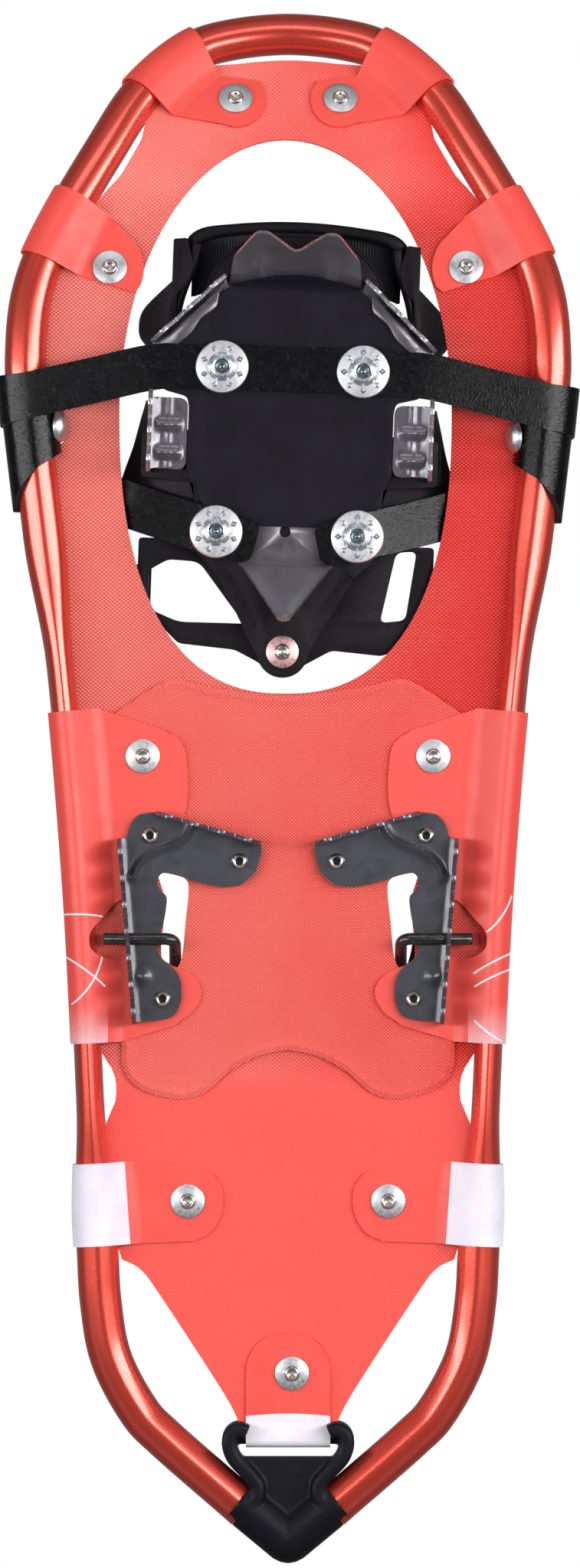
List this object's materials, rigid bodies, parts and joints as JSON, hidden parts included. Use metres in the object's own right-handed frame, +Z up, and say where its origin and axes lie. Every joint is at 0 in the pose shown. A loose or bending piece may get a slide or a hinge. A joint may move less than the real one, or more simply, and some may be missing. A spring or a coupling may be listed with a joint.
{
  "type": "snowshoe",
  "caption": "Aluminium-framed snowshoe with a laced-on flexible deck, toe and heel crampons, heel lift and a pivoting boot binding.",
  "frame": {"origin": "middle of the bounding box's underside, on the plane of the crampon tips", "axes": "+Y towards the upturned toe, +Z up from the sole, X across, with the wearer's right side at +X"},
  "size_m": [0.2088, 0.5591, 0.1211],
  "materials": {
    "frame_tube": "satin anodised, orange red",
    "black_moulding": "fine matte",
    "deck_sheet": "coated sheet with an embossed diamond pattern underneath",
    "printed_deck": "coated sheet with a pale print",
    "bare_alloy": "turned, satin",
    "painted_steel": "satin grey black",
    "bare_steel": "brushed",
    "black_wire": "satin black",
    "heel_pad": "matte",
    "suspension_strap": "glossy coated webbing",
    "binding_plastic": "fine matte, charcoal",
    "binding_strap": "satin moulded strap"
  },
  "bodies": {
    "frame": {"frame_tube": "frame_tube", "tail_cap": "black_moulding", "deck_sheet": "deck_sheet", "deck_rear_sheet": "deck_sheet", "deck_doubler": "deck_sheet", "tail_tab": "deck_sheet", "tail_rivet": "bare_alloy", "heel_pad": "heel_pad", "toe_tab_right": "deck_sheet", "toe_tab_left": "deck_sheet", "toe_rivet_right": "bare_alloy", "toe_rivet_left": "bare_alloy", "front_tab_right": "deck_sheet", "front_tab_left": "deck_sheet", "front_rivet_right": "bare_alloy", "front_rivet_left": "bare_alloy", "mid_tab_right": "deck_sheet", "mid_tab_left": "deck_sheet", "mid_rivet_right": "bare_alloy", "mid_rivet_left": "bare_alloy", "rear_tab_right": "printed_deck", "rear_tab_left": "printed_deck", "rear_rivet_right": "bare_alloy", "rear_rivet_left": "bare_alloy", "heel_crampon_right": "painted_steel", "heel_crampon_left": "painted_steel", "heel_rivet_front_right": "bare_alloy", "heel_rivet_front_left": "bare_alloy", "heel_rivet_inner_right": "bare_alloy", "heel_rivet_inner_left": "bare_alloy", "heel_rivet_rear_right": "bare_alloy", "heel_rivet_rear_left": "bare_alloy", "strap_cuff_right": "suspension_strap", "strap_cuff_left": "suspension_strap", "cuff_rivet_right": "bare_alloy", "cuff_rivet_left": "bare_alloy"},
    "binding": {"binding_base": "binding_plastic", "binding_wing_right": "binding_plastic", "binding_wing_left": "binding_plastic", "toe_band": "binding_strap", "toe_crampon": "bare_steel", "anti_ball_plate": "black_moulding", "strap_front": "suspension_strap", "strap_front_right": "suspension_strap", "strap_front_left": "suspension_strap", "strap_rear_right": "suspension_strap", "strap_rear_left": "suspension_strap", "bolt_front_right": "bare_alloy", "bolt_front_left": "bare_alloy", "bolt_rear_right": "bare_alloy", "bolt_rear_left": "bare_alloy", "instep_pad": "binding_plastic", "ladder_strap": "binding_strap", "ratchet_buckle": "binding_plastic", "yoke_rivet": "bare_alloy"},
    "heel_cradle": {"heel_yoke": "binding_plastic", "heel_strap": "binding_strap", "heel_buckle": "binding_plastic"},
    "heel_lift": {"heel_lift_bail": "black_wire"},
    "ratchet_lever": {"ratchet_lever": "binding_plastic"}
  },
  "joints": [
    {"name": "binding_pivot", "type": "hinge", "parent": "frame", "child": "binding", "pos_m": [0, 0.122, 0.024], "axis": [-1, 0, 0], "range_deg": [0, 25], "stiffness_Nm_per_rad": 1.5, "deforming": ["strap_front_right", "strap_front_left", "strap_rear_right", "strap_rear_left"]},
    {"name": "heel_cradle_swivel", "type": "hinge", "parent": "binding", "child": "heel_cradle", "pos_m": [0.00203, 0.04765, 0.0303], "axis": [0, 0, 1], "range_deg": [-5, 5]},
    {"name": "heel_lift", "type": "hinge", "parent": "frame", "child": "heel_lift", "pos_m": [0, -0.055, 0.0198], "axis": [-1, 0, 0], "range_deg": [0, 100]},
    {"name": "ratchet_release", "type": "hinge", "parent": "binding", "child": "ratchet_lever", "pos_m": [0.02681, 0.11781, 0.10834], "axis": [-0.0366, 0.9993, 0], "range_deg": [0, 60], "stiffness_Nm_per_rad": 0.05}
  ]
}
